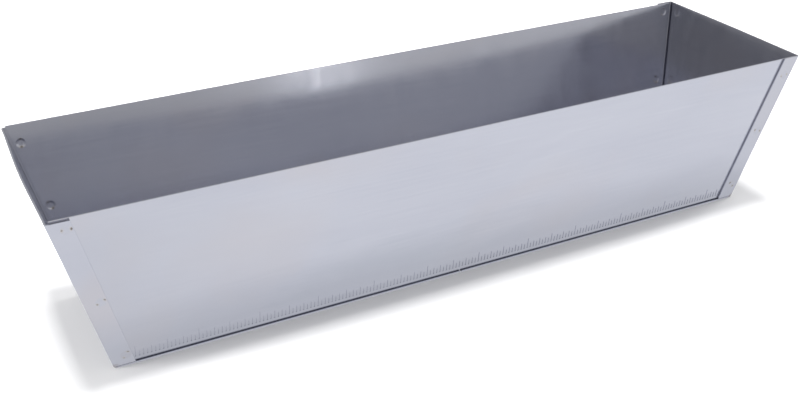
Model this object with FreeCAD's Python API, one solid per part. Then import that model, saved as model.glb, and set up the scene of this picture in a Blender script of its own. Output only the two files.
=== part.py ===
import FreeCAD, Part
import math
import os

from FreeCAD import Vector

# A mud pan: a long, flared, open trough that a plasterer holds in one hand and fills with
# jointing compound. One sheet is folded into the front wall, floor and back wall. A cap made
# from a second and a third sheet closes each end. Its flanges lap over the outside of the
# walls. Its foot plate lies under the floor, flush with the walls, and reaches to the middle
# of the pan, where the two plates meet. Spot welds hold them.
#
# Frame: +X along the pan, +Y towards the back wall, +Z up. The origin is at the middle of
# the surface that the pan stands on. Everything is in millimetres.

# Overall sizes, over the outside of the caps
bottom_length = 304.8
top_length = 338.2
bottom_width = 63.0
top_width = 97.4
rim_height = 76.1

# Sheets and how they are bent
body_sheet = 0.7
cap_sheet = 0.7
body_bend = 1.6  # outside radius of the two long bends
cap_bend = 1.4  # outside radius of the bends of a cap

# How the caps lap over the body
flange_width = 8.5
foot_joint = 0.4  # between the two foot plates at the middle of the pan
lap_clearance = 0.1  # between a flange or foot plate and the sheet it lies on
corner_gap = 1.0  # from the cut ends of the body to the inside of a cap
left_cap_drop = 0.9  # how far the rim of the left cap is below the body's rim
right_cap_rise = 0.3  # how far the rim of the right cap is above it
relief_slot = 0.3  # between the lower end of a flange and the foot plate under it
foot_inset = 0.3  # from the pan's outline to the long edges of the foot plates

# Spot welds
weld_diameter = 4.2
weld_dish = 0.15  # how deep the electrodes pressed each face in
weld_margin = 0.2  # least metal between a weld and a cut edge or a bend
hole_overrun = 0.5  # how far a weld hole's cutter reaches past the sheets on either side
foot_weld_count = 3  # in each row across a foot plate
foot_weld_side = 11.0  # from the long edge of the plate to the first weld of a row
foot_weld_end = 7.0  # from either end of the plate to its rows

# For each flange: drop of the top weld below the rim, rise of the lowest weld above its
# lowest place, shift of the middle weld from halfway, and where the row of welds lies
# between the cap's corner (0) and the free edge of the flange (1)
weld_rows = {
    "left_front": (4.5, 1.5, -3.5, 1.0),
    "left_back": (8.0, 3.9, 2.5, 0.25),
    "right_front": (8.8, 3.9, 0.5, 0.1),
    "right_back": (4.2, 2.9, -1.5, 0.7),
}

# The inch rule stamped along the foot of the front wall
rule_pitch = 25.4 / 16.0
rule_end_gap = 0.6  # from a flange's free edge to the first mark
rule_foot = 0.8  # from the long bend to the foot of the marks
mark_width = 0.3
mark_depth = 0.12
mark_lengths = {16: 5.6, 8: 4.8, 4: 4.0, 2: 3.4, 1: 2.6}  # by how many sixteenths divide it

wall_slope = (top_width - bottom_width) / 2.0 / rim_height
end_slope = (top_length - bottom_length) / 2.0 / rim_height
wall_stretch = math.hypot(1.0, wall_slope)  # horizontal shift for each unit square to a wall
end_stretch = math.hypot(1.0, end_slope)
body_lift = cap_sheet + lap_clearance
weld_radius = weld_diameter / 2.0
weld_thickness = cap_sheet + lap_clearance + body_sheet


def outline_y(height, inset):
    """Half width of the pan at a height, inset square to the wall."""
    return bottom_width / 2.0 + wall_slope * height - inset * wall_stretch


def outline_x(height, inset):
    """Half length of the pan at a height, inset square to the end."""
    return bottom_length / 2.0 + end_slope * height - inset * end_stretch


def rectangle(height, wall_inset, end_inset):
    """Closed rectangular wire at a height."""
    x = outline_x(height, end_inset)
    y = outline_y(height, wall_inset)
    signs = ((-1, -1), (1, -1), (1, 1), (-1, 1))
    corners = [Vector(i * x, j * y, height) for i, j in signs]
    return Part.makePolygon(corners + corners[:1])


def flared_block(wall_inset, end_inset, floor_height, top_height):
    """Solid with the pan's four slopes, between two heights."""
    wires = [rectangle(h, wall_inset, end_inset) for h in (floor_height, top_height)]
    return Part.makeLoft(wires, True, True)


def lies_on(edge, test):
    """Whether both ends of an edge pass a test."""
    return all(test(v.Point) for v in edge.Vertexes)


def near(a, b):
    return abs(a - b) < 1e-4


def round_long_edges(block, floor_height, radius):
    """Rounds the two long bottom edges of a flared block."""
    def on_floor(p):
        return near(p.z, floor_height)

    edges = [e for e in block.Edges if lies_on(e, on_floor) and e.Length > block.BoundBox.YLength]
    return block.makeFillet(radius, edges)


def round_end_edges(block, floor_height, radius):
    """Rounds the bends of a cap: the corner edges and the bottom edge at each end."""
    def on_floor(p):
        return near(p.z, floor_height)

    edges = []
    for edge in block.Edges:
        ends = [v.Point for v in edge.Vertexes]
        rises = not near(ends[0].z, ends[1].z)
        across = lies_on(edge, on_floor) and near(ends[0].x, ends[1].x)
        if rises or across:
            edges.append(edge)
    return block.makeFillet(radius, edges)


def box_between(low, high):
    return Part.makeBox(high[0] - low[0], high[1] - low[1], high[2] - low[2], Vector(*low))


def wall_point(side, x, height, depth):
    """Point on the front (-1) or back (+1) outline, sunk square to the wall by a depth."""
    return Vector(x, side * outline_y(height, depth), height)


def wall_normal(side):
    """Outward unit normal of the front (-1) or back (+1) wall."""
    return Vector(0, side, -wall_slope) / wall_stretch


def bend_top():
    """Height at which the long bend ends and the flat wall starts."""
    turn = math.pi / 2.0 - math.atan(wall_slope)
    return body_lift + body_bend * math.tan(turn / 2.0) / wall_stretch


def weld_heights(row):
    """Heights of a flange's three welds, from the top down."""
    drop, rise, shift, _ = weld_rows[row]
    top = rim_height - drop
    low = bend_top() + weld_radius + weld_margin + rise
    return [top, (top + low) / 2.0 + shift, low]


def weld_inset(row):
    """Distance of a flange's welds from the end of the pan, square to it."""
    nearest = cap_sheet + corner_gap + weld_margin + weld_radius
    farthest = flange_width - weld_margin - weld_radius
    return nearest + (farthest - nearest) * weld_rows[row][3]


def weld_hole(centre, direction):
    """Cutter for the hole that a weld fills. centre is on the outside face."""
    start = centre + direction * hole_overrun
    return Part.makeCylinder(weld_radius, weld_thickness + 2.0 * hole_overrun, start, -direction)


def nugget(centre, direction):
    """Weld through both sheets, with its faces pressed in to a shallow dish by the electrodes."""
    ball_radius = (weld_radius ** 2 + weld_dish ** 2) / (2.0 * weld_dish)
    out = centre + direction * (ball_radius - weld_dish)
    far = centre - direction * (weld_thickness + ball_radius - weld_dish)
    plug = Part.makeCylinder(weld_radius, weld_thickness, centre, -direction)
    return plug.cut(Part.makeSphere(ball_radius, out)).cut(Part.makeSphere(ball_radius, far))


def flange_weld_places(row):
    """Centre and direction of each weld of a flange."""
    end = -1 if row.startswith("left") else 1
    side = -1 if row.endswith("front") else 1
    places = []
    for height in weld_heights(row):
        x = end * outline_x(height, weld_inset(row))
        places.append((wall_point(side, x, height, 0.0), wall_normal(side)))
    return places


def foot_weld_places(end):
    """Centre and direction of each weld of a foot plate: one row near either end of it."""
    reach = outline_y(0.0, 0.0) - foot_inset - foot_weld_side
    step = 2.0 * reach / (foot_weld_count - 1)
    rows = (outline_x(0.0, 0.0) - foot_weld_end, foot_joint / 2.0 + foot_weld_end)
    across = [-reach + step * i for i in range(foot_weld_count)]
    return [(Vector(end * x, y, 0.0), Vector(0, 0, -1)) for x in rows for y in across]


def weld_groups():
    """Every group of welds by its node name."""
    groups = {row + "_welds": flange_weld_places(row) for row in weld_rows}
    groups["left_floor_welds"] = foot_weld_places(-1)
    groups["right_floor_welds"] = foot_weld_places(1)
    return groups


def end_block(end, inset, height):
    """Everything beyond a plane parallel to one end of the pan."""
    x_low = outline_x(0.0, inset)
    x_high = outline_x(height, inset)
    far = top_length
    y = top_width
    low = [Vector(x_low, -y, 0), Vector(far, -y, 0)]
    corners = low + [Vector(far, -y, height), Vector(x_high, -y, height)]
    face = Part.Face(Part.makePolygon(corners + corners[:1]))
    block = face.extrude(Vector(0, 2 * y, 0))
    if end < 0:
        block = block.mirror(Vector(0, 0, 0), Vector(1, 0, 0))
    return block


def rule_marks():
    """Cutters for the marks of the rule, one for each sixteenth of an inch."""
    foot = bend_top() + rule_foot / wall_stretch
    half = outline_x(foot, flange_width) - rule_end_gap
    count = int(2.0 * half / rule_pitch)
    start = -count * rule_pitch / 2.0
    lean = math.degrees(math.atan(wall_slope))
    cutters = []
    for i in range(count + 1):
        length = next(mark_lengths[step] for step in (16, 8, 4, 2, 1) if i % step == 0)
        corner = Vector(-mark_width / 2.0, -mark_depth, 0)
        cutter = Part.makeBox(mark_width, 2.0 * mark_depth, length, corner)
        cutter.rotate(Vector(0, 0, 0), Vector(1, 0, 0), lean)
        cutter.translate(wall_point(-1, start + i * rule_pitch, foot, body_lift))
        cutters.append(cutter)
    return Part.makeCompound(cutters)


def pan_body(holes):
    """Front wall, floor and back wall, folded from one sheet."""
    end_inset = cap_sheet + corner_gap
    outside = flared_block(body_lift, end_inset, body_lift, rim_height)
    outside = round_long_edges(outside, body_lift, body_bend)
    floor_top = body_lift + body_sheet
    inside = flared_block(floor_top, -corner_gap, floor_top, rim_height + body_sheet)
    inside = round_long_edges(inside, floor_top, body_bend - body_sheet)
    return outside.cut(inside).cut(rule_marks()).cut(holes)


def end_cap(end, rim, holes):
    """End plate with a front flange, a back flange and a foot plate under half the floor."""
    above = rim + cap_bend
    outside = round_end_edges(flared_block(0.0, 0.0, 0.0, above), 0.0, cap_bend)
    inside = flared_block(cap_sheet, cap_sheet, cap_sheet, above + cap_sheet)
    inside = round_end_edges(inside, cap_sheet, cap_bend - cap_sheet)
    shell = outside.cut(inside)

    flanges = shell.common(end_block(end, flange_width, rim))
    low_x, high_x = sorted((end * foot_joint / 2.0, end * top_length))
    y = outline_y(0.0, foot_inset)
    foot = shell.common(box_between((low_x, -y, 0.0), (high_x, y, cap_sheet)))
    low_x, high_x = sorted((0.0, end * outline_x(0.0, cap_bend)))
    slot_top = cap_sheet + relief_slot
    slot = box_between((low_x, -top_width, cap_sheet), (high_x, top_width, slot_top))
    flanges = flanges.cut(slot)
    for side in (-1, 1):
        low_y, high_y = sorted((side * y, side * top_width))
        flanges = flanges.cut(box_between((low_x, low_y, 0.0), (high_x, high_y, cap_sheet)))
    return flanges.fuse(foot).removeSplitter().cut(holes)


def write(name, shape):
    solids = shape.Solids
    if not solids or not all(s.isValid() for s in solids):
        raise ValueError(name + " did not come out as valid solids")
    kept = solids[0] if len(solids) == 1 else Part.makeCompound(solids)
    kept.exportStep("parts/" + name + ".step")
    print(name, len(solids), "solid(s)", round(kept.Volume, 1), "mm3")


def main():
    os.makedirs("parts", exist_ok=True)
    groups = weld_groups()
    holes = Part.makeCompound([weld_hole(*place) for places in groups.values() for place in places])
    write("pan_body", pan_body(holes))
    write("left_end_cap", end_cap(-1, rim_height - left_cap_drop, holes))
    write("right_end_cap", end_cap(1, rim_height + right_cap_rise, holes))
    for name, places in groups.items():
        write(name, Part.makeCompound([nugget(*place) for place in places]))


main()
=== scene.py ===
import math

import bmesh
import bpy
import numpy as np
from mathutils import Matrix, Vector


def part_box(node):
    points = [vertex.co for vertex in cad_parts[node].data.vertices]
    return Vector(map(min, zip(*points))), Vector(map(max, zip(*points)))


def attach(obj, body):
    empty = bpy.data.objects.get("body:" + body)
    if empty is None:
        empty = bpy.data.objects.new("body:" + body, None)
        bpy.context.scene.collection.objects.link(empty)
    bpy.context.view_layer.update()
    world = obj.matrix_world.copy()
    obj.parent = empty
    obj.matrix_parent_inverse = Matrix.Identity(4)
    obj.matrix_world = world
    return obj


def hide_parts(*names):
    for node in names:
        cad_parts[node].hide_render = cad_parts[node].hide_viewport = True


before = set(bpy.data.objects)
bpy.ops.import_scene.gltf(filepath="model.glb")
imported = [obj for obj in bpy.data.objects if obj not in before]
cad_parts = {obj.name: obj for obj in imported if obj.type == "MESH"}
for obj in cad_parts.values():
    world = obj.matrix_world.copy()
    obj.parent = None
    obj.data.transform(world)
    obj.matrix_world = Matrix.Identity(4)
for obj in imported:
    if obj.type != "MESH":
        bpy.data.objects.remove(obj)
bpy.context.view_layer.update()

# Mud pan in bright rolled steel: one folded sheet, two lapped end caps, rows of spot welds.
# x runs along the pan, the front wall with the rule faces -y, z is up. Lengths are in metres
# and each finished piece is built where it stands, so its origin is the frame's.

panShape = {
    "footLength": 0.3048,      # over the caps, at the surface it stands on
    "footWidth": 0.0630,
    "bodySheet": 0.0007,
    "capSheet": 0.0007,
    "lapGap": 0.0001,          # between a flange and the wall under it
    "footGap": 0.00002,        # between a foot plate and the floor on it
    "cornerGap": 0.0010,       # from the body's cut end to the inside of a cap
    "bodyBend": 0.0008,        # outside radii of the folds
    "capBend": 0.0009,
    "flange": 0.0085,
}

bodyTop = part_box("pan_body")[1].z
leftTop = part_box("left_end_cap")[1].z
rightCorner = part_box("right_end_cap")[1]
endSlope = (rightCorner.x - panShape["footLength"] / 2) / rightCorner.z
wallSlope = (rightCorner.y - panShape["footWidth"] / 2) / rightCorner.z
endStretch = math.hypot(1, endSlope)
wallStretch = math.hypot(1, wallSlope)
wallLean = math.atan(wallSlope)


def halfLength(z, inset=0.0):
    # half length of the outline at a height, inset square to the end
    return panShape["footLength"] / 2 + endSlope * z - inset * endStretch


def halfWidth(z, inset=0.0):
    # half width of the outline at a height, inset square to the wall
    return panShape["footWidth"] / 2 + wallSlope * z - inset * wallStretch


def easeTo(low, high, count, power=1.0):
    # count values from low to high: an even run from 0 to 1 raised to the power, which crowds
    # them towards low when it is over 1
    return low + (high - low) * np.linspace(0, 1, count) ** power


def joinRuns(*runs):
    # runs of numbers end to end, each shared end kept once
    return np.concatenate([runs[0]] + [run[1:] for run in runs[1:]])


def crowdedEnds(count, crowd):
    # -1 to 1 with the samples drawn towards both ends: sine blended with even steps
    even = np.linspace(-1, 1, count)
    return (1 - crowd) * even + crowd * np.sin(even * math.pi / 2)


def makeMesh(name, points, faces, slots=None):
    mesh = bpy.data.meshes.new(name)
    mesh.from_pydata(points.tolist(), [], faces)
    if slots is not None:
        mesh.polygons.foreach_set("material_index", slots)
    mesh.update()
    piece = bpy.data.objects.new(name, mesh)
    bpy.context.scene.collection.objects.link(piece)
    return piece


def sheetMesh(name, outside, inside, kept):
    # Closed shell from two grids of points and a mask of kept cells: each kept cell gives one
    # quad on either skin, and each cell side with a kept cell on one side only gives a quad
    # across the edge. Its signed volume, a sum of triple products, says which way it faces
    rows, cols = outside.shape[:2]
    points = np.concatenate([outside.reshape(-1, 3), inside.reshape(-1, 3)])
    under = rows * cols
    index = np.arange(under).reshape(rows, cols)
    a, b, c, d = index[:-1, :-1], index[:-1, 1:], index[1:, 1:], index[1:, :-1]
    skin = np.stack([a, b, c, d], axis=-1)[kept]
    faces = [skin, skin[:, ::-1] + under]
    padded = np.pad(kept, 1).astype(int)
    # +1 where a kept cell starts and -1 where one ends
    across = padded[1:, 1:-1] - padded[:-1, 1:-1]
    along = (padded[1:-1, 1:] - padded[1:-1, :-1]).T
    turned = index.T
    for step, p, q in ((across, index[:, :-1], index[:, 1:]),
                       (along, turned[:, 1:], turned[:, :-1])):
        for sign in (1, -1):
            here = step == sign
            first, second = (p[here], q[here]) if sign > 0 else (q[here], p[here])
            faces.append(np.stack([second, first, first + under, second + under], axis=-1))
    faces = np.concatenate(faces)
    used, packed = np.unique(faces, return_inverse=True)
    points, faces = points[used], packed.reshape(faces.shape)
    corner = points[faces]
    volume = np.einsum("ij,ij->i", corner[:, 0], np.cross(corner[:, 1], corner[:, 2])).sum()
    volume += np.einsum("ij,ij->i", corner[:, 0], np.cross(corner[:, 2], corner[:, 3])).sum()
    if volume < 0:
        faces = faces[:, ::-1]
    return makeMesh(name, points, faces.tolist())


def applyModifiers(piece):
    graph = bpy.context.evaluated_depsgraph_get()
    graph.update()
    mesh = bpy.data.meshes.new_from_object(piece.evaluated_get(graph))
    piece.modifiers.clear()
    piece.data = mesh


def softenEdges(piece, width):
    bevel = piece.modifiers.new("cutEdges", "BEVEL")
    bevel.width = width
    bevel.segments = 2
    bevel.limit_method = "ANGLE"
    bevel.angle_limit = math.radians(50)
    bevel.use_clamp_overlap = True
    applyModifiers(piece)


def cutAway(piece, cutters):
    # exact boolean; faces that a cutter leaves keep the cutter's slot number
    for cutter in cutters:
        cut = piece.modifiers.new("cut", "BOOLEAN")
        cut.operation = "DIFFERENCE"
        cut.solver = "EXACT"
        cut.material_mode = "INDEX"
        cut.object = cutter
    applyModifiers(piece)
    for cutter in cutters:
        bpy.data.objects.remove(cutter)


def finishShading(piece, sharpAngle=32):
    piece.data.shade_smooth()
    piece.data.set_sharp_from_angle(angle=math.radians(sharpAngle))
    weighted = piece.modifiers.new("flatFaces", "WEIGHTED_NORMAL")
    weighted.keep_sharp = True
    weighted.weight = 100
    applyModifiers(piece)


def addPiece(piece, node, materials):
    for material in materials:
        piece.data.materials.append(material)
    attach(piece, "root")
    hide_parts(node)
    print("made", piece.name, len(piece.data.polygons), "faces")
    return piece


spotWeld = {
    "radius": 0.0021,
    "flat": 0.50,              # share of the radius that the electrode tip left flat
    "lipReach": 1.04,          # outer edge of the metal squeezed up round the tip, in radii
    "turns": 56,               # points round a weld, across its dish and across its lip
    "dishSteps": 11,
    "lipSteps": 5,
    # how deep each face is dished and how high its lip stands
    "dish": {"front": 0.00003, "back": 0.00008, "floor": 0.00008},
    "innerDish": {"front": 0.00012, "back": 0.00020, "floor": 0.00012},
    "lip": {"front": 0.000008, "back": 0.00002, "floor": 0.0},
    "innerLip": 0.000012,
    "lipStand": 0.000003,      # the lip's outer edge over the sheet, and how far it goes under
    "lipSink": 0.00002,
    "shank": 0.98,             # radius of the metal between the two faces, in radii
    "shankSink": 0.00003,
    "holeTurns": 48,           # points round a hole, and how far its cutter reaches either way
    "holeReach": 0.003,
}

weldBurn = {
    "place": 0.80,             # middle of the ring of heat and its width, in radii of the weld
    "width": 0.25,
    "faint": 0.05,             # how brown the ring is away from its two spots
    "spread": (0.09, 0.07),    # of the first spot and the second, tighter when smaller
    "second": 0.8,             # strength of the second spot against the first
    "strength": (1.0, 0.9, 0.6),                    # of the welds of a row in turn
    "turn": {"left_front": 0.0, "right_front": 2.3},     # first spot from the pan's length
    "otherTurn": 1.1,
    "turnStep": 0.5,           # from one weld to the next, radians
}


def splitAtGaps(points, axis):
    # groups of points with a gap wider than a weld's radius between them along one axis
    points = points[points[:, axis].argsort()]
    gaps = np.flatnonzero(np.diff(points[:, axis]) > spotWeld["radius"]) + 1
    return np.split(points, gaps)


def weldCentres(node):
    # middle of each solid of a node, the solids being told apart by the gaps along x, y and z
    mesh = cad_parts[node].data
    points = np.empty(len(mesh.vertices) * 3)
    mesh.vertices.foreach_get("co", points)
    groups = [points.reshape(-1, 3)]
    for axis in range(3):
        groups = [part for group in groups for part in splitAtGaps(group, axis)]
    return np.array([(group.min(axis=0) + group.max(axis=0)) / 2 for group in groups])


def weldWall(node):
    return next(wall for wall in ("front", "back", "floor") if wall in node)


def weldDirection(node):
    if weldWall(node) == "floor":
        return np.array([0, 0, -1.0])
    side = -1 if weldWall(node) == "front" else 1
    return np.array([0, side, -wallSlope]) / wallStretch


weldNodes = sorted(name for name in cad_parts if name.endswith("_welds"))
weldPlaces = {node: (weldCentres(node), weldDirection(node)) for node in weldNodes}


def squareTo(direction):
    # two unit vectors square to a direction: the pan's length less its part along the direction,
    # and the cross product of the two
    along = np.array([1.0, 0, 0])
    along = along - direction * (along @ direction)
    along = along / np.linalg.norm(along)
    return along, np.cross(direction, along)


def revolve(profile, centre, direction, turns):
    # surface of revolution: centre + radius * (cosine * along + sine * aside) + height * direction
    angle = np.linspace(0, 2 * math.pi, turns, endpoint=False)
    along, aside = squareTo(direction)
    ring = np.cos(angle)[:, None] * along + np.sin(angle)[:, None] * aside
    radius, height = profile[:, 0], profile[:, 1]
    return centre + radius[:, None, None] * ring[None] + height[:, None, None] * direction


def plugFace(dish, lip):
    # Section of one face from its middle outwards: a flat dish, half a cosine wave up to the
    # lip, a quarter wave down onto the sheet, and back under it to the shank
    r, stand = spotWeld["radius"], spotWeld["lipStand"]
    flat, reach = r * spotWeld["flat"], r * spotWeld["lipReach"]
    rise = np.linspace(0, 1, spotWeld["dishSteps"])
    radius = flat + (r - flat) * rise
    height = -dish + (dish + lip) * (0.5 - 0.5 * np.cos(math.pi * rise))
    middle = np.array([[flat * 0.001, -dish], [flat * 0.5, -dish]])
    face = np.concatenate([middle, np.stack([radius, height], 1)])
    if lip > 0:
        over = np.linspace(0, 1, spotWeld["lipSteps"])[1:]
        down = np.stack([r + (reach - r) * over, lip * np.cos(over * math.pi / 2) + stand], 1)
        face = np.concatenate([face, down, [[reach, -spotWeld["lipSink"]]]])
    return np.concatenate([face, [[r * spotWeld["shank"], -spotWeld["shankSink"]]]])


def plugProfile(node):
    # both faces of a plug and the shank between them, from the middle of the outer face
    wall = weldWall(node)
    half = (panShape["bodySheet"] + panShape["capSheet"] + panShape["lapGap"]) / 2
    outer = plugFace(spotWeld["dish"][wall], spotWeld["lip"][wall])
    inner = plugFace(spotWeld["innerDish"][wall], spotWeld["innerLip"])[::-1] * [1, -1]
    sunk = panShape["lapGap"] - panShape["footGap"] if wall == "floor" else 0
    return np.concatenate([outer + [0, half], inner - [0, half - sunk]])


def burnTint(profile, turn, strength):
    # 0 to 1 at each point: a ring where the tip's edge stood, exp(-((radius - place) / width)^2),
    # times a faint part and two spots half a turn apart, exp((cosine - 1) / spread) each
    angle = np.linspace(0, 2 * math.pi, spotWeld["turns"], endpoint=False) - turn
    away = profile[:, 0] / spotWeld["radius"] - weldBurn["place"]
    ring = np.exp(-(away / weldBurn["width"]) ** 2)
    near, opposite = weldBurn["spread"]
    spots = np.exp((np.cos(angle) - 1) / near)
    spots = spots + weldBurn["second"] * np.exp((-np.cos(angle) - 1) / opposite)
    faint = weldBurn["faint"]
    return ring[:, None] * (faint + (1 - faint) * strength * spots[None, :])


def weldGroup(node, materials):
    centres, direction = weldPlaces[node]
    profile = plugProfile(node)
    turns, steps = spotWeld["turns"], len(profile)
    index = np.arange(steps * turns).reshape(steps, turns)
    side = np.roll(index, -1, axis=1)
    quads = np.stack([index[:-1], side[:-1], side[1:], index[1:]], -1).reshape(-1, 4)
    turn = weldBurn["turn"].get(node[:-len("_welds")], weldBurn["otherTurn"])
    points, faces, burns = [], [], []
    for number, centre in enumerate(centres):
        shift = number * steps * turns
        strength = weldBurn["strength"][number % len(weldBurn["strength"])]
        points.append(revolve(profile, centre, direction, turns).reshape(-1, 3))
        burns.append(burnTint(profile, turn + weldBurn["turnStep"] * number, strength).ravel())
        faces += (quads + shift).tolist()
        faces += [(index[0] + shift)[::-1].tolist(), (index[-1] + shift).tolist()]
    piece = makeMesh(node, np.concatenate(points), faces)
    burn = piece.data.attributes.new("burn", "FLOAT", "POINT")
    burn.data.foreach_set("value", np.concatenate(burns))
    turnOutward(piece)
    finishShading(piece, 40)
    return addPiece(piece, node, materials)


def turnOutward(piece):
    work = bmesh.new()
    work.from_mesh(piece.data)
    bmesh.ops.recalc_face_normals(work, faces=work.faces)
    work.to_mesh(piece.data)
    work.free()


def weldHoles(nodes):
    # a cutter of round bars through the sheets, one where each weld of the nodes goes
    turns, reach = spotWeld["holeTurns"], spotWeld["holeReach"]
    profile = np.array([[spotWeld["radius"], reach], [spotWeld["radius"], -reach]])
    bars = [revolve(profile, centre, direction, turns).reshape(-1, 3)
            for centres, direction in (weldPlaces[node] for node in nodes) for centre in centres]
    index = np.arange(2 * turns).reshape(2, turns)
    side = np.roll(index, -1, axis=1)
    quads = np.stack([index[0], side[0], side[1], index[1]], -1)
    faces = []
    for number in range(len(bars)):
        shift = number * 2 * turns
        faces += (quads + shift).tolist()
        faces += [(index[0] + shift)[::-1].tolist(), (index[1] + shift).tolist()]
    cutter = makeMesh("holes", np.concatenate(bars), faces)
    turnOutward(cutter)
    return cutter


bodySheet = {
    "columns": 121,            # along the pan
    "wallRows": 26,
    "foldRows": 9,
    "floorRows": 9,
    "endCrowd": 0.35,          # how far samples are drawn to the ends, the floor's sides, the folds
    "floorCrowd": 0.4,
    "foldCrowd": 1.25,
    "frontBow": 0.0004,        # how far each wall bellies out at the middle of its rim
    "backBow": 0.0012,
    "backBowAt": -0.2,         # where the back wall bellies most, as a share of the half length
    "backBowFade": 0.3,        # how fast its belly fades away from there
    "ripple": 0.00005,         # height of the shallow waves left by the folding
    # for each wave: radians per metre along the pan, radians up a wall, phase, share of the height
    "waves": ((34, 2.1, 0.0, 1.0), (71, -3.4, 0.8, 0.6)),
    "backPhase": 1.7,          # keeps the back wall's waves from matching the front wall's
    "edge": 0.00010,           # softening of the cut edges
}

ruleMarks = {
    "pitch": 0.0254 / 16,
    "endGap": 0.0006,          # from a flange's free edge to the first mark
    "foot": 0.0015,            # from the fold to the foot of the marks
    "width": 0.00046,
    "taper": 0.55,             # width at the bottom of a mark, as a share
    "depth": 0.00016,
    # the length of every sixteenth, eighth, fourth, second and single mark, longest first
    "lengths": ((16, 0.0056), (8, 0.0048), (4, 0.0040), (2, 0.0034), (1, 0.0026)),
}


def foldedProfile(depth):
    # Section of the body at a depth below its outer skin, as y, z, the normal's y and z, and the
    # share of the height: a straight line down the front wall, a fold as centre + (bend - depth)
    # * (cosine, -sine) of the turn, the level floor, and the same mirrored for the back wall
    lift = panShape["capSheet"] + panShape["lapGap"]
    bend = panShape["bodyBend"]
    centreZ = panShape["capSheet"] + panShape["footGap"] + bend
    centreY = halfWidth(centreZ, lift + bend)
    angle = np.linspace(wallLean, math.pi / 2, bodySheet["foldRows"])
    arcY = centreY + (bend - depth) * np.cos(angle)
    arcZ = centreZ - (bend - depth) * np.sin(angle)
    rise = easeTo(0, 1, bodySheet["wallRows"], bodySheet["foldCrowd"])[::-1]
    wallZ = arcZ[0] + (bodyTop - arcZ[0]) * rise
    wallY = arcY[0] + (wallZ - arcZ[0]) * wallSlope
    floorY = arcY[-1] * crowdedEnds(bodySheet["floorRows"], bodySheet["floorCrowd"])
    wallTurn = np.full(len(wallZ), wallLean)
    sideY = joinRuns(wallY, arcY)
    sideZ = joinRuns(wallZ, arcZ)
    turn = joinRuns(wallTurn, angle)
    share = joinRuns(rise, np.zeros(len(angle)))
    y = np.concatenate([-sideY, floorY[1:-1], sideY[::-1]])
    z = np.concatenate([sideZ, np.full(len(floorY) - 2, arcZ[-1]), sideZ[::-1]])
    flat = np.zeros(len(floorY) - 2)
    ny = np.concatenate([-np.cos(turn), flat, np.cos(turn)[::-1]])
    nz = np.concatenate([-np.sin(turn), flat - 1, -np.sin(turn)[::-1]])
    up = np.concatenate([share, flat, share[::-1]])
    return y, z, ny, nz, up


def bodySkin(depth):
    # The section carried along x; each wall bellies out by bow * (1 - s^2)^2 * h^2, with s along
    # the pan and h up the wall, plus shallow sine waves that die out at the caps and the folds
    y, z, ny, nz, up = (row[:, None] for row in foldedProfile(depth))
    s = crowdedEnds(bodySheet["columns"], bodySheet["endCrowd"])[None, :]
    inset = panShape["capSheet"] + panShape["cornerGap"]
    x = s * halfLength(z, inset)
    clamp = (1 - s ** 2) ** 2
    back = clamp * (1 - (s - bodySheet["backBowAt"]) ** 2 * bodySheet["backBowFade"])
    bow = np.where(y < 0, bodySheet["frontBow"] * clamp, bodySheet["backBow"] * back) * up ** 2
    side = np.where(y < 0, 0.0, bodySheet["backPhase"])
    wave = sum(share * np.sin(x * along + up * climb + phase + side)
               for along, climb, phase, share in bodySheet["waves"])
    push = bow + bodySheet["ripple"] * wave * clamp * np.sqrt(up) * (up > 0)
    return np.stack([x + 0 * y, y + ny * push, z + nz * push], axis=-1)


def markCutter():
    # One wedge-sided block for each sixteenth of an inch: eight corners, moved along x by the
    # pitch, tilted with the wall, and as long as the largest step that divides its number says
    lift = panShape["capSheet"] + panShape["lapGap"]
    turn = math.pi / 2 - wallLean
    foldTop = lift + panShape["bodyBend"] * math.tan(turn / 2) / wallStretch
    foot = foldTop + ruleMarks["foot"] / wallStretch
    half = halfLength(foot, panShape["flange"]) - ruleMarks["endGap"]
    count = int(2 * half / ruleMarks["pitch"])
    number = np.arange(count + 1)
    length = np.select([number % step == 0 for step, _ in ruleMarks["lengths"]],
                       [value for _, value in ruleMarks["lengths"]])
    x = (number - count / 2) * ruleMarks["pitch"]
    wide, deep = ruleMarks["width"] / 2, ruleMarks["depth"]
    narrow = wide * ruleMarks["taper"]
    across = np.array([-wide, wide, narrow, -narrow] * 2)      # outer pair, then inner pair
    sunk = np.array([-deep, -deep, deep, deep] * 2)
    top = np.array([0, 0, 0, 0, 1, 1, 1, 1])
    rise = top[None] * length[:, None]
    startY, startZ = -halfWidth(foot, lift), foot
    px = x[:, None] + across[None]
    py = startY + (sunk[None] - rise * wallSlope) / wallStretch
    pz = startZ + (rise + sunk[None] * wallSlope) / wallStretch
    points = np.stack([px, py, pz], -1).reshape(-1, 3)
    block = np.array([[0, 1, 2, 3], [7, 6, 5, 4], [0, 4, 5, 1],
                      [1, 5, 6, 2], [2, 6, 7, 3], [3, 7, 4, 0]])
    faces = (block[None] + number[:, None, None] * 8).reshape(-1, 4).tolist()
    cutter = makeMesh("marks", points, faces, [1] * len(faces))
    turnOutward(cutter)
    return cutter


def panBody(materials):
    outside, inside = bodySkin(0.0), bodySkin(panShape["bodySheet"])
    kept = np.ones((outside.shape[0] - 1, outside.shape[1] - 1), bool)
    piece = sheetMesh("pan_body_sheet", outside, inside, kept)
    softenEdges(piece, bodySheet["edge"])
    # the slots stand while the cut is made, so that the marks keep the second one
    for material in materials:
        piece.data.materials.append(material)
    cutAway(piece, [weldHoles(weldNodes), markCutter()])
    piece.data.materials.clear()
    finishShading(piece)
    return addPiece(piece, "pan_body", materials)


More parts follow.
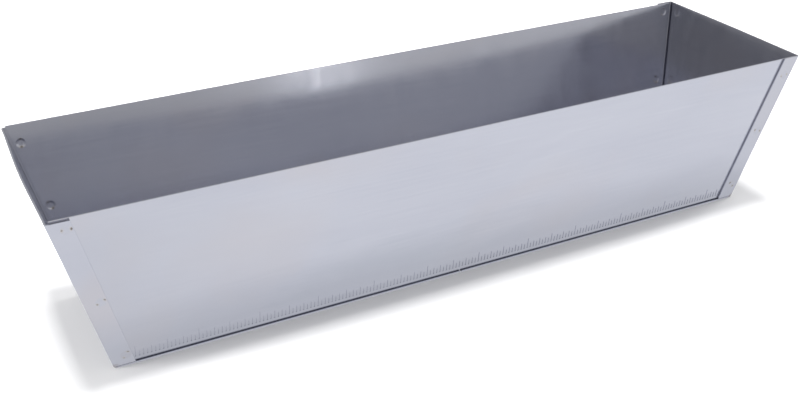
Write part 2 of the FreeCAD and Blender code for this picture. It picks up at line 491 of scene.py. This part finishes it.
endCap = {
    "reliefSlot": 0.0003,      # between the lower end of a flange and the foot plate under it
    "footInset": 0.0001,       # from the outline to the long edges of the foot plate
    "footJoint": 0.0004,       # between the two foot plates at the middle of the pan
    "plateColumns": 33,
    "plateRows": 31,
    "footColumns": 26,
    "flangeColumns": 9,
    "bendSteps": 6,
    "plateCrowd": 0.3,         # how far samples are drawn to the plate's sides and the foot's bend
    "footCrowd": 1.6,
    "evenFrom": 2.4,           # where the plate's even grid starts, in bend radii from a corner
    "evenInset": 1.25,         # and how far in from the wall, against that distance
    "belly": {"left": 0.0009, "right": 0.0004},     # how far the plate bows out at its rim
    "spring": {"left": 0.00003, "right": 0.00009},  # how far the free edge of a flange stands off
    "springFrom": 0.0048,      # how far from the corner a flange starts to lift
    "edge": 0.00010,
}


def capSkin(end, top, depth):
    # A rounded box corner: each point starts on the sharp outline, at perpendicular distances e,
    # w and z from the end plane, the wall and the foot. The nearest point that is at least one
    # bend radius from all three is the centre, and the skin lies a radius less the depth from it.
    # The plate bellies by belly * (1 - across^2)^2 * height^2, and a flange's free edge lifts by
    # the square of how far it is past where it starts to spring
    r = panShape["capBend"]
    steps = r * (1 - np.tan(np.linspace(0, math.pi / 4, endCap["bendSteps"])))    # radius to 0
    flange = np.r_[easeTo(panShape["flange"], r, endCap["flangeColumns"]), steps[1:-1]]
    slotTop = panShape["capSheet"] + endCap["reliefSlot"]
    corner = r * endCap["evenFrom"]
    edgeW = np.r_[np.sort(np.r_[steps, endCap["footInset"]]), corner]
    middle = crowdedEnds(endCap["plateColumns"], endCap["plateCrowd"])[1:-1]
    rows = np.r_[easeTo(top, corner, endCap["plateRows"]), np.sort(np.r_[steps, slotTop])[::-1]]
    farFoot = (halfLength(0) - endCap["footJoint"] / 2) / endStretch
    foot = easeTo(r, farFoot, endCap["footColumns"], endCap["footCrowd"])
    tab = np.r_[steps[::-1][1:-1], foot]

    zRow = np.r_[rows, np.zeros(len(tab))][:, None]
    eRow = np.r_[np.zeros(len(rows)), tab][:, None]
    blank = np.zeros(len(edgeW))
    ones = np.ones(len(flange) + len(edgeW))
    eCol = np.r_[flange, blank, middle * 0, blank, flange[::-1]][None]
    wEdge = np.r_[flange * 0, edgeW, middle * 0, edgeW[::-1], flange * 0][None]
    sign = np.r_[-ones, middle * 0, ones][None]
    share = np.r_[flange * 0, blank, middle, blank, flange * 0][None]
    isMiddle = sign == 0

    outlineY = halfWidth(zRow)
    innerY = outlineY - edgeW[-1] * wallStretch * endCap["evenInset"]
    wPlate = (outlineY - np.abs(share) * innerY) / wallStretch
    side = np.where(isMiddle, np.sign(share), sign)
    e = eCol + eRow
    w = np.where(isMiddle, wPlate, wEdge) + 0 * e
    z = zRow + 0 * e
    sharp = np.stack([e, w, z], -1)
    core = np.maximum(sharp, r)
    away = sharp - core
    size = np.linalg.norm(away, axis=-1, keepdims=True)
    skin = core + away / np.maximum(size, 1e-12) * (r - depth)
    # the foot plate isn't rounded along its sides: there only e and z are
    core[..., 1] = sharp[..., 1]
    away = sharp - core
    size = np.linalg.norm(away, axis=-1, keepdims=True)
    level = core + away / np.maximum(size, 1e-12) * (r - depth)
    skin += (level - skin) * np.clip(eRow / r, 0, 1)[..., None]
    e, w, z = skin[..., 0], skin[..., 1], skin[..., 2]

    far, near = panShape["flange"], endCap["springFrom"]
    spring = endCap["spring"][end] * np.clip((eCol - near) / (far - near), 0, 1) ** 2
    w = w - spring
    y = np.where(isMiddle & (share == 0), 0.0, side * (halfWidth(z) - w * wallStretch))
    across = np.clip(np.abs(y) / halfWidth(z), 0, 1)
    high = np.clip(z / bodyTop, 0, 1)
    onPlate = (eCol + eRow) == 0
    belly = endCap["belly"][end] * (1 - across ** 2) ** 2 * high ** 2 * onPlate
    x = halfLength(z) - (e - belly) * endStretch
    direction = -1 if end == "left" else 1
    return np.stack([direction * x, y, z], -1), (eCol, eRow, wEdge, isMiddle, zRow)


def capSheet(end, top, materials):
    outside, grid = capSkin(end, top, 0.0)
    inside, _ = capSkin(end, top, panShape["capSheet"])
    eCol, eRow, wEdge, isMiddle, zRow = grid
    r, tiny = panShape["capBend"], 1e-7
    # a cell is kept if its middle is; flange cells end above the slot and foot cells at their sides
    cellE = (eCol[:, :-1] + eCol[:, 1:]) / 2
    cellTab = (eRow[:-1] + eRow[1:]) / 2
    cellZ = (zRow[:-1] + zRow[1:]) / 2
    inMiddle = isMiddle[:, :-1] | isMiddle[:, 1:]
    cellW = np.where(inMiddle, 1.0, (wEdge[:, :-1] + wEdge[:, 1:]) / 2)
    onFlange = cellE > tiny
    onFoot = cellTab > tiny
    kept = ~(onFlange & onFoot)
    kept &= ~((cellE > r) & (cellZ < panShape["capSheet"] + endCap["reliefSlot"]))
    kept &= ~((cellTab > r) & (cellW < endCap["footInset"]))
    piece = sheetMesh(end + "_end_cap_sheet", outside, inside, kept)
    softenEdges(piece, endCap["edge"])
    nodes = [node for node in weldPlaces if node.startswith(end)]
    cutAway(piece, [weldHoles(nodes)])
    finishShading(piece)
    return addPiece(piece, end + "_end_cap", materials)


mostNoise = (0.3, 0.7)         # where most values of a noise texture lie


class Graph:
    # short names for building a node tree
    def __init__(self, owner, coordinates):
        self.tree = owner.node_tree
        self.place = self.add("ShaderNodeTexCoord").outputs[coordinates]

    def add(self, kind, **settings):
        node = self.tree.nodes.new(kind)
        for key, value in settings.items():
            setattr(node, key, value)
        return node

    def wire(self, source, socket):
        self.tree.links.new(source, socket)

    def feed(self, node, **values):
        # each value is a number or colour for a socket, or another node's output
        for key, value in values.items():
            socket = node.inputs[key] if not key.startswith("in") else node.inputs[int(key[2:])]
            if isinstance(value, bpy.types.NodeSocket):
                self.wire(value, socket)
            else:
                socket.default_value = value
        return node

    def stretched(self, scale, shift=(0, 0, 0)):
        mapping = self.add("ShaderNodeMapping")
        self.feed(mapping, Vector=self.place, Scale=scale, Location=shift)
        return mapping.outputs["Vector"]

    def noise(self, where, scale=1.0, detail=3.0, roughness=0.5, distortion=0.0):
        node = self.add("ShaderNodeTexNoise")
        self.feed(node, Vector=where, Scale=scale, Detail=detail)
        return self.feed(node, Roughness=roughness, Distortion=distortion).outputs["Fac"]

    def span(self, value, low, high, toLow, toHigh, smooth=False):
        kind = "SMOOTHSTEP" if smooth else "LINEAR"
        node = self.feed(self.add("ShaderNodeMapRange", interpolation_type=kind), Value=value)
        node.inputs["From Min"].default_value = low
        node.inputs["From Max"].default_value = high
        node.inputs["To Min"].default_value = toLow
        node.inputs["To Max"].default_value = toHigh
        return node.outputs["Result"]

    def combine(self, operation, first, second):
        node = self.add("ShaderNodeMath", operation=operation)
        return self.feed(node, in0=first, in1=second).outputs[0]

    def sum(self, first, second):
        return self.combine("ADD", first, second)

    def product(self, first, second):
        return self.combine("MULTIPLY", first, second)

    def blend(self, share, first, second):
        node = self.add("ShaderNodeMix", data_type="RGBA")
        self.feed(node, in0=share, in6=first, in7=second)
        return node.outputs[2]

    def towards(self, direction):
        # cosine of the angle between the place's own direction and another
        node = self.add("ShaderNodeVectorMath", operation="DOT_PRODUCT")
        self.feed(node, in0=self.place, in1=direction)
        return node.outputs["Value"]

    def patch(self, centre, reach, ragged=0.0):
        # 1 at a centre, falling to 0 at an ellipsoid round it, the edge made ragged by noise
        scale = [1 / length for length in reach]
        where = self.stretched(scale, [-c * k for c, k in zip(centre, scale)])
        length = self.add("ShaderNodeVectorMath", operation="LENGTH")
        far = self.feed(length, in0=where).outputs["Value"]
        if ragged:
            torn = self.noise(where, scale=3.0, detail=4)
            far = self.sum(far, self.span(torn, *mostNoise, -ragged, ragged))
        return self.span(far, 0.0, 1.0, 1.0, 0.0, smooth=True)

    def bump(self, height, distance, strength=1.0, under=None):
        node = self.add("ShaderNodeBump")
        self.feed(node, Height=height, Distance=distance, Strength=strength)
        if under is not None:
            self.wire(under, node.inputs["Normal"])
        return node.outputs["Normal"]


class Finish(Graph):
    # a metal finish: the sheet's colour first, then darker patches laid over it, painted shade and
    # a painted reflection among them, and closed last
    def __init__(self, name):
        self.material = bpy.data.materials.new(name)
        self.material.use_nodes = True
        super().__init__(self.material, "Object")
        self.shader = self.tree.nodes["Principled BSDF"]
        self.shader.inputs["Metallic"].default_value = 1.0

    def tintPatch(self, colour, share, tint, centre, reach, ragged=0.0):
        # a share of a tint laid over the colour within a patch
        return self.blend(self.product(self.patch(centre, reach, ragged), share), colour, tint)

    def close(self, colour, rough, normal):
        self.feed(self.shader, Roughness=rough, Normal=normal)
        self.wire(colour, self.shader.inputs["Base Color"])
        return self.material


rolledSteel = {
    "light": (0.590, 0.600, 0.660, 1),
    "dark": (0.525, 0.537, 0.602, 1),
    "warm": (0.570, 0.550, 0.575, 1),      # faint straw smears left by handling
    "grey": (0.20, 0.20, 0.22, 1),         # dulls the pressed parts
    "warmShare": 0.6,
    "roughLow": 0.11,
    "roughHigh": 0.20,
    "grainRough": (-0.02, 0.03),           # what the grain adds to the roughness
    "cloudScale": (9, 26, 26),             # waves per metre along x, y and z
    "smearScale": (45, 60, 18),
    "stainScale": (13, 9, 16),
    "swayScale": (7, 9, 9),
    "grain": 0.0000008,                    # heights of the bumps, metres
    "dimple": 0.000006,
    "sway": 0.00006,
}


def rolledSheet(g, grainScale, shift):
    # bright rolled sheet: cloudy tone, fine grain along the roll, faint smears, shallow sway
    steel = rolledSteel
    cloud = g.noise(g.stretched(steel["cloudScale"], shift), detail=4, distortion=0.6)
    grain = g.noise(g.stretched(grainScale, shift), detail=2, roughness=0.6)
    smear = g.noise(g.stretched(steel["smearScale"], shift), detail=5, distortion=1.2)
    tintPatch = g.noise(g.stretched(steel["stainScale"], shift), detail=3, distortion=0.4)
    sway = g.noise(g.stretched(steel["swayScale"], shift), detail=1)
    tone = g.sum(g.span(cloud, *mostNoise, 0, 0.7), g.span(grain, *mostNoise, 0, 0.3))
    colour = g.blend(tone, steel["dark"], steel["light"])
    colour = g.blend(g.span(tintPatch, 0.5, 0.72, 0, steel["warmShare"]), colour, steel["warm"])
    rough = g.sum(g.span(smear, 0.3, 0.75, steel["roughLow"], steel["roughHigh"]),
                  g.span(grain, 0.25, 0.75, *steel["grainRough"]))
    normal = g.bump(sway, steel["sway"], 0.5)
    normal = g.bump(smear, steel["dimple"], 0.5, normal)
    normal = g.bump(grain, steel["grain"], 1.0, normal)
    return colour, rough, normal


bodyLook = {
    "grainScale": (30, 2600, 2600),
    "shift": (0.3, 0.1, 0.7),
    # for each darkened patch: share, tint, centre, reach, how ragged its edge is
    # painted reflection of a dark thing in front: a bluish darker cloud low on the front wall
    "darkReflection": (0.16, (0.40, 0.44, 0.50, 1), (-0.030, -0.035, 0.016), (0.075, 0.04, 0.026), 0.35),
    # a darker band low along the front wall, among the rule marks just above the fold
    "footBand": (0.28, (0.30, 0.31, 0.35, 1), (0, -0.0325, 0.0030), (9.0, 0.004, 0.0042)),
    # painted shade: the sheet darker towards its left end, as the light falls there
    "leftShade": (0.30, (0.40, 0.41, 0.45, 1), (-0.17, -0.04, 0.04), (0.12, 0.06, 0.12)),
}


def bodyFinish():
    # the folded sheet: a painted reflection of a dark thing low on the front, a darker band among
    # the rule marks at the foot, painted shade over the left end
    g = Finish("bodySteel")
    colour, rough, normal = rolledSheet(g, bodyLook["grainScale"], bodyLook["shift"])
    for tintPatch in ("darkReflection", "footBand", "leftShade"):
        colour = g.tintPatch(colour, *bodyLook[tintPatch])
    return g.close(colour, rough, normal)


capLook = {
    "grainScale": (2600, 30, 2600),
    "shift": (1.3, 2.1, 0.4),
    "greyShare": 0.10,
    # painted shade at the front foot corners: height over the foot, share and tint, reach, how
    # ragged the edge is
    "tipHeight": 0.0008,
    "tipShade": (0.6, (0.30, 0.26, 0.24, 1)),
    "tipSize": ((0.003, 0.003, 0.0024), 0.3),
}


def capFinish():
    # the caps, with painted shade darkening the front corners at the foot, where the slot under the
    # fold lies
    g = Finish("capSteel")
    colour, rough, normal = rolledSheet(g, capLook["grainScale"], capLook["shift"])
    colour = g.blend(capLook["greyShare"], colour, rolledSteel["grey"])
    for side in (-1, 1):
        tip = (side * halfLength(0), -halfWidth(0), capLook["tipHeight"])
        colour = g.tintPatch(colour, *capLook["tipShade"], tip, *capLook["tipSize"])
    return g.close(colour, rough, normal)


markLook = {
    "dark": (0.02, 0.02, 0.025, 1),
    "light": (0.07, 0.07, 0.08, 1),
    "rough": (0.4, 0.6),
    "speckScale": 2600,        # specks per metre
    "speck": 0.00001,          # and how high they stand
}


def markFinish():
    # floor of a stamped mark: duller than the sheet, and painted near black as shade in the groove
    g = Finish("stampedSteel")
    speck = g.noise(g.place, scale=markLook["speckScale"], detail=3)
    colour = g.blend(g.span(speck, *mostNoise, 0, 1), markLook["dark"], markLook["light"])
    rough = g.span(speck, *mostNoise, *markLook["rough"])
    return g.close(colour, rough, g.bump(speck, markLook["speck"]))


weldLook = {
    "grainScale": (900, 900, 900),
    "shift": (0.9, 0.4, 1.6),
    "greyShare": 0.12,
    "straw": (0.53, 0.51, 0.50, 1),
    "burnt": (0.15, 0.13, 0.115, 1),
    "strawFrom": (0.02, 0.3),  # the heat at which each colour starts and is full, and its share
    "strawShare": 0.8,
    "burntFrom": (0.3, 0.9),
    "burntShare": 0.9,
    "uneven": (0.6, 1.25),     # how far noise takes the heat down and up
    "tintScale": 900,
    "speckScale": 3200,
    "speckRough": 0.08,
    "speck": 0.000003,
}


def weldFinish():
    # pressed weld face: the sheet's steel, with straw and burnt brown where the burn attribute says
    g, look = Finish("weldSteel"), weldLook
    colour, rough, _ = rolledSheet(g, look["grainScale"], look["shift"])
    colour = g.blend(look["greyShare"], colour, rolledSteel["grey"])
    burn = g.add("ShaderNodeAttribute", attribute_name="burn").outputs["Fac"]
    tint = g.noise(g.place, scale=look["tintScale"], detail=3)
    speck = g.noise(g.place, scale=look["speckScale"], detail=2)
    burn = g.product(burn, g.span(tint, *mostNoise, *look["uneven"]))
    for name in ("straw", "burnt"):
        share = g.span(burn, *look[name + "From"], 0, look[name + "Share"])
        colour = g.blend(share, colour, look[name])
    rough = g.sum(rough, g.span(speck, *mostNoise, 0.0, look["speckRough"]))
    return g.close(colour, rough, g.bump(speck, look["speck"]))


bodySteel, capSteel, markSteel, weldMetal = bodyFinish(), capFinish(), markFinish(), weldFinish()
print("finishes ready")

panBody([bodySteel, markSteel])
capSheet("left", leftTop, [capSteel])
capSheet("right", rightCorner.z, [capSteel])
for weldNode in weldNodes:
    weldGroup(weldNode, [weldMetal])

studio = {
    "floorSize": 9.0,
    "floorColour": (0.90, 0.90, 0.90, 1),
    "floorRough": 0.9,
    "floorGloss": 0.1,
    "fill": (0.86, 0.87, 0.90, 1),     # light the floor returns to the metal whatever its shadow
    "fillShare": 0.83,
    "worldLow": (0.45, 0.45, 0.46, 1),
    "worldHigh": (0.69, 0.69, 0.70, 1),
    "horizon": (0.05, 0.75),           # sines of the elevations between which low turns to high
    # azimuth from +y towards +x, elevation and reach in degrees, and the share of white or black
    "glow": (144, 4, 24, 0.38),
    "dark": (-134, 19, 20, 0.48),
}


def heading(azimuth, elevation):
    # unit vector at an azimuth from +y towards +x and an elevation: sine and cosine of the first,
    # each times the cosine of the second, and the second's sine
    a, e = math.radians(azimuth), math.radians(elevation)
    return (math.sin(a) * math.cos(e), math.cos(a) * math.cos(e), math.sin(e))


def paleFloor():
    # matt floor; where the metal mirrors it, most of its light is even, so the walls stay bright
    half = studio["floorSize"] / 2
    points = np.array([[-half, -half, 0], [half, -half, 0], [half, half, 0], [-half, half, 0]])
    floor = makeMesh("floor", points, [[0, 1, 2, 3]])
    material = bpy.data.materials.new("paleFloor")
    material.use_nodes = True
    g = Graph(material, "Object")
    shader = g.tree.nodes["Principled BSDF"]
    shader.inputs["Roughness"].default_value = studio["floorRough"]
    shader.inputs["Base Color"].default_value = studio["floorColour"]
    shader.inputs["Specular IOR Level"].default_value = studio["floorGloss"]
    even = g.feed(g.add("ShaderNodeEmission"), Color=studio["fill"]).outputs[0]
    inMetal = g.add("ShaderNodeLightPath").outputs["Is Glossy Ray"]
    share = g.product(inMetal, studio["fillShare"])
    mix = g.feed(g.add("ShaderNodeMixShader"), in0=share, in1=shader.outputs[0], in2=even)
    g.wire(mix.outputs[0], g.tree.nodes["Material Output"].inputs["Surface"])
    floor.data.materials.append(material)
    return floor


def softWorld():
    # grey at the horizon and paler overhead, a soft glow front right and a dark side front left
    world = bpy.data.worlds.new("softWorld")
    bpy.context.scene.world = world
    world.use_nodes = True
    g = Graph(world, "Generated")
    height = g.span(g.towards((0, 0, 1)), *studio["horizon"], 0, 1)
    colour = g.blend(height, studio["worldLow"], studio["worldHigh"])
    azimuth, elevation, reach, added = studio["glow"]
    near = math.cos(math.radians(reach))
    glow = g.span(g.towards(heading(azimuth, elevation)), near, 1, 0, added, smooth=True)
    colour = g.blend(glow, colour, (1, 1, 1, 1))
    azimuth, elevation, reach, taken = studio["dark"]
    near, full = math.cos(math.radians(reach)), math.cos(math.radians(reach / 2))
    dark = g.span(g.towards(heading(azimuth, elevation)), near, full, 0, taken, smooth=True)
    colour = g.blend(dark, colour, (0, 0, 0, 1))
    g.wire(colour, g.tree.nodes["Background"].inputs["Color"])


softBoxes = [
    # name, place, aimed at, size, power, whether the metal mirrors it
    ("overhead", (0.0, -0.02, 4.0), (0, 0, 0), (1.0, 1.0), 182, True),
    ("leftFill", (-2.7, 0.3, 1.0), (0, 0, 0), (1.2, 1.2), 62, False),
    ("rightFill", (2.7, 0.3, 1.0), (0, 0, 0), (1.2, 1.2), 56, False),
    ("narrowPanel", (0.466, -1.37, 0.166), (0, 0, 0.05), (0.02, 0.40), 0.10, True),
]


def softBox(name, place, aim, size, power, mirrored):
    light = bpy.data.lights.new(name, "AREA")
    light.shape = "RECTANGLE"
    light.size, light.size_y = size
    light.energy = power
    lamp = bpy.data.objects.new(name, light)
    lamp.location = place
    lamp.rotation_euler = (Vector(aim) - Vector(place)).to_track_quat("-Z", "Y").to_euler()
    lamp.visible_glossy = mirrored
    bpy.context.scene.collection.objects.link(lamp)


view = {
    "place": (-0.2026, -0.4223, 0.2593),
    "azimuth": 27.7,           # degrees from +y towards +x
    "elevation": 27.26,
    "roll": -0.7,
    "lens": 51.73,
    "sensor": 36,
    "shift": (-0.0814, 0.0068),
    "clip": (0.01, 50),
}


def makeCamera():
    data = bpy.data.cameras.new("camera")
    data.lens = view["lens"]
    data.sensor_width = view["sensor"]
    data.shift_x, data.shift_y = view["shift"]
    data.clip_start, data.clip_end = view["clip"]
    camera = bpy.data.objects.new("camera", data)
    roll = math.radians(view["roll"])
    ahead = Vector(heading(view["azimuth"], -view["elevation"]))
    level = ahead.cross(Vector((0, 0, 1))).normalized()
    above = level.cross(ahead)
    right = level * math.cos(roll) + above * math.sin(roll)
    up = above * math.cos(roll) - level * math.sin(roll)
    turn = Matrix((right, up, -ahead)).transposed().to_4x4()
    camera.matrix_world = Matrix.Translation(view["place"]) @ turn
    bpy.context.scene.collection.objects.link(camera)
    bpy.context.scene.camera = camera


paleFloor()
softWorld()
for box in softBoxes:
    softBox(*box)
makeCamera()
bpy.context.scene.view_settings.view_transform = "Standard"
print("studio ready")
